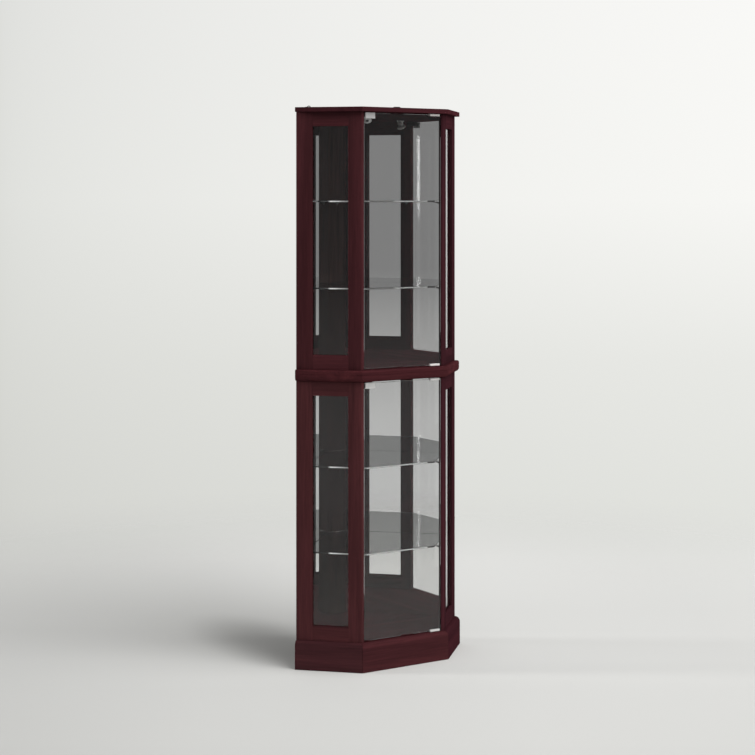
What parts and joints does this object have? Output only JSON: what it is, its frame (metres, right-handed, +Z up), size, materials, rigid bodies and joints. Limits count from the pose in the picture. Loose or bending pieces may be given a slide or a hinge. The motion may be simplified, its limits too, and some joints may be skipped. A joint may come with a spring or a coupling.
{
  "type": "corner curio cabinet",
  "caption": "Tall corner display cabinet in dark wood: two glazed cases on a plinth, frameless glass doors across the corner, glazed returns, mirrored back walls and glass shelves.",
  "frame": {"origin": "centre of the bounding box on the floor plane under the plinth", "axes": "+Z up, +X to the right as seen from the front, +Y from the doors towards the room's corner"},
  "size_m": [0.6478, 0.4362, 1.8055],
  "materials": {
    "mahogany": "satin lacquer, dark red-brown",
    "backing": "matt stain",
    "clear_glass": "polished",
    "silvered_glass": "polished",
    "steel": "satin nickel plated",
    "dark_plastic": "matt",
    "bulb_glass": "frosted lens"
  },
  "bodies": {
    "cabinet": {"top_board": "mahogany", "mid_board": "mahogany", "floor_board": "backing", "plinth_front": "mahogany", "plinth_left": "mahogany", "plinth_right": "mahogany", "back_panel_left": "backing", "back_panel_right": "backing", "corner_board": "mahogany", "mirror_left": "silvered_glass", "mirror_right": "silvered_glass", "lower_left_frame": "mahogany", "lower_right_frame": "mahogany", "lower_left_pane": "clear_glass", "lower_right_pane": "clear_glass", "upper_left_frame": "mahogany", "upper_right_frame": "mahogany", "upper_left_pane": "clear_glass", "upper_right_pane": "clear_glass", "shelf_1": "clear_glass", "shelf_1_pin_left_front": "steel", "shelf_1_pin_left_rear": "steel", "shelf_1_pin_right_front": "steel", "shelf_1_pin_right_rear": "steel", "shelf_1_pin_corner": "steel", "shelf_2": "clear_glass", "shelf_2_pin_left_front": "steel", "shelf_2_pin_left_rear": "steel", "shelf_2_pin_right_front": "steel", "shelf_2_pin_right_rear": "steel", "shelf_2_pin_corner": "steel", "shelf_3": "clear_glass", "shelf_3_pin_left_front": "steel", "shelf_3_pin_left_rear": "steel", "shelf_3_pin_right_front": "steel", "shelf_3_pin_right_rear": "steel", "shelf_3_pin_corner": "steel", "shelf_4": "clear_glass", "shelf_4_pin_left_front": "steel", "shelf_4_pin_left_rear": "steel", "shelf_4_pin_right_front": "steel", "shelf_4_pin_right_rear": "steel", "shelf_4_pin_corner": "steel", "lower_latch_housing": "dark_plastic", "upper_latch_housing": "dark_plastic", "lamp_base": "steel", "lead_gland": "dark_plastic", "lead_clip": "dark_plastic"},
    "lower_door": {"lower_door_glass": "clear_glass", "lower_door_lower_clamp": "steel", "lower_door_upper_clamp": "steel", "lower_catch_plate": "steel"},
    "upper_door": {"upper_door_glass": "clear_glass", "upper_door_lower_clamp": "steel", "upper_door_upper_clamp": "steel", "upper_catch_plate": "steel"},
    "lower_plunger": {"lower_latch_plunger": "steel"},
    "upper_plunger": {"upper_latch_plunger": "steel"},
    "lamp_spot": {"lamp_head": "steel", "lamp_bulb": "bulb_glass"}
  },
  "joints": [
    {"name": "lower_door_hinge", "type": "hinge", "parent": "cabinet", "child": "lower_door", "pos_m": [0.139, -0.19608, 0.5], "axis": [0, 0, 1], "range_deg": [0, 105]},
    {"name": "upper_door_hinge", "type": "hinge", "parent": "cabinet", "child": "upper_door", "pos_m": [0.139, -0.19608, 1.37], "axis": [0, 0, 1], "range_deg": [0, 105]},
    {"name": "lower_plunger_slide", "type": "slide", "parent": "cabinet", "child": "lower_plunger", "axis": [0, 1, 0], "range_m": [0, 0.003], "stiffness_N_per_m": 300, "springref_m": -0.002},
    {"name": "upper_plunger_slide", "type": "slide", "parent": "cabinet", "child": "upper_plunger", "axis": [0, 1, 0], "range_m": [0, 0.003], "stiffness_N_per_m": 300, "springref_m": -0.002},
    {"name": "lamp_tilt", "type": "hinge", "parent": "cabinet", "child": "lamp_spot", "pos_m": [-0.065, -0.08308, 1.7727], "axis": [0.866, -0.5, 0], "range_deg": [-25, 60]}
  ]
}
